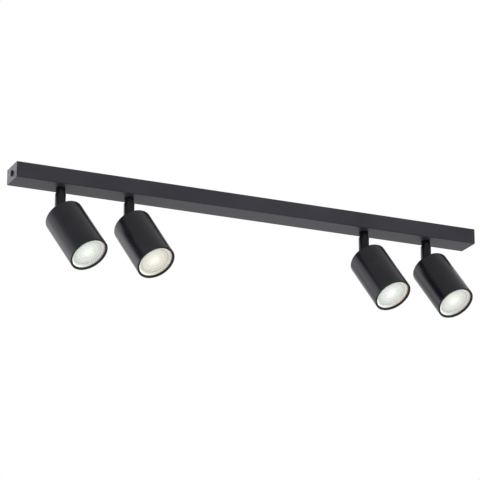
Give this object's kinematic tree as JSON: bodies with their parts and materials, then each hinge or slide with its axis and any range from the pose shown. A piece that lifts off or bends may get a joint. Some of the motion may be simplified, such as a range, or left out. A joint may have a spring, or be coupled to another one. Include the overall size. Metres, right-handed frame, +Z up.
{
  "type": "ceiling spotlight bar",
  "caption": "Slim black ceiling bar carrying four cylindrical spots on short swivels; each spot turns and tilts and holds a recessed GU10 reflector lamp.",
  "frame": {"origin": "middle of the ceiling face, on the line of the two ceiling screw slots", "axes": "+Z up into the ceiling, +X along the bar, -Y towards the side that the spots point to"},
  "size_m": [0.707, 0.0938, 0.1441],
  "materials": {
    "bar_paint": "satin black powder coat",
    "casing_paint": "satin black powder coat, a little smoother than the bar",
    "swivel_paint": "satin black",
    "black_screw": "blackened steel",
    "zinc_steel": "bright zinc plate",
    "brass": "plain brass",
    "terminal_plastic": "natural moulded plastic",
    "grommet_rubber": "soft black rubber",
    "brown_sleeve": "brown wire insulation",
    "blue_sleeve": "blue wire insulation",
    "green_sleeve": "green and yellow wire insulation",
    "white_sleeve": "white glass-fibre sleeve",
    "ceramic": "unglazed ceramic",
    "lamp_glass": "white coated lamp body",
    "lamp_front": "clear ringed front glass of a lit lamp",
    "lamp_pin": "nickel-plated"
  },
  "bodies": {
    "bar": {"bar_housing": "bar_paint", "mounting_bracket": "zinc_steel", "end_screws": "black_screw", "swivel_nipples": "zinc_steel", "swivel_collars": "swivel_paint", "lock_washers": "zinc_steel", "nipple_nuts": "zinc_steel", "terminal_block": "terminal_plastic", "terminal_clamps": "brass", "terminal_screws": "zinc_steel", "cable_grommet": "grommet_rubber", "earth_screw": "brass", "live_wires": "brown_sleeve", "neutral_wires": "blue_sleeve", "earth_wires": "green_sleeve"},
    "swivel_1": {"swivel_sleeve_1": "swivel_paint"},
    "head_1": {"pivot_screws_1": "black_screw", "knuckle_1": "swivel_paint", "knuckle_nut_1": "zinc_steel", "casing_1": "casing_paint", "holder_bracket_1": "zinc_steel", "lampholder_1": "ceramic", "lamp_leads_1": "white_sleeve", "lamp_body_1": "lamp_glass", "lamp_pins_1": "lamp_pin", "lamp_lens_1": "lamp_front"},
    "swivel_2": {"swivel_sleeve_2": "swivel_paint"},
    "head_2": {"pivot_screws_2": "black_screw", "knuckle_2": "swivel_paint", "knuckle_nut_2": "zinc_steel", "casing_2": "casing_paint", "holder_bracket_2": "zinc_steel", "lampholder_2": "ceramic", "lamp_leads_2": "white_sleeve", "lamp_body_2": "lamp_glass", "lamp_pins_2": "lamp_pin", "lamp_lens_2": "lamp_front"},
    "swivel_3": {"swivel_sleeve_3": "swivel_paint"},
    "head_3": {"pivot_screws_3": "black_screw", "knuckle_3": "swivel_paint", "knuckle_nut_3": "zinc_steel", "casing_3": "casing_paint", "holder_bracket_3": "zinc_steel", "lampholder_3": "ceramic", "lamp_leads_3": "white_sleeve", "lamp_body_3": "lamp_glass", "lamp_pins_3": "lamp_pin", "lamp_lens_3": "lamp_front"},
    "swivel_4": {"swivel_sleeve_4": "swivel_paint"},
    "head_4": {"pivot_screws_4": "black_screw", "knuckle_4": "swivel_paint", "knuckle_nut_4": "zinc_steel", "casing_4": "casing_paint", "holder_bracket_4": "zinc_steel", "lampholder_4": "ceramic", "lamp_leads_4": "white_sleeve", "lamp_body_4": "lamp_glass", "lamp_pins_4": "lamp_pin", "lamp_lens_4": "lamp_front"}
  },
  "joints": [
    {"name": "pan_1", "type": "hinge", "parent": "bar", "child": "swivel_1", "pos_m": [-0.28, 0, -0.054], "axis": [0, 0, 1], "range_deg": [-199, 141]},
    {"name": "tilt_1", "type": "hinge", "parent": "swivel_1", "child": "head_1", "pos_m": [-0.28, 0, -0.054], "axis": [-0.8746, -0.4848, 0], "range_deg": [-36, 54]},
    {"name": "pan_2", "type": "hinge", "parent": "bar", "child": "swivel_2", "pos_m": [-0.18, 0, -0.054], "axis": [0, 0, -1], "range_deg": [-227.5, 37.5]},
    {"name": "tilt_2", "type": "hinge", "parent": "swivel_2", "child": "head_2", "pos_m": [-0.18, 0, -0.054], "axis": [-0.9239, -0.3827, 0], "range_deg": [-36.5, 53.5]},
    {"name": "pan_3", "type": "hinge", "parent": "bar", "child": "swivel_3", "pos_m": [0.18, 0, -0.054], "axis": [0, 0, 1], "range_deg": [-191.5, 148.5]},
    {"name": "tilt_3", "type": "hinge", "parent": "swivel_3", "child": "head_3", "pos_m": [0.18, 0, -0.054], "axis": [-0.9304, -0.3665, 0], "range_deg": [-35.5, 54.5]},
    {"name": "pan_4", "type": "hinge", "parent": "bar", "child": "swivel_4", "pos_m": [0.28, 0, -0.054], "axis": [0, 0, -1], "range_deg": [-230.5, 34.5]},
    {"name": "tilt_4", "type": "hinge", "parent": "swivel_4", "child": "head_4", "pos_m": [0.28, 0, -0.054], "axis": [-0.9426, -0.3338, 0], "range_deg": [-36.5, 53.5]}
  ]
}
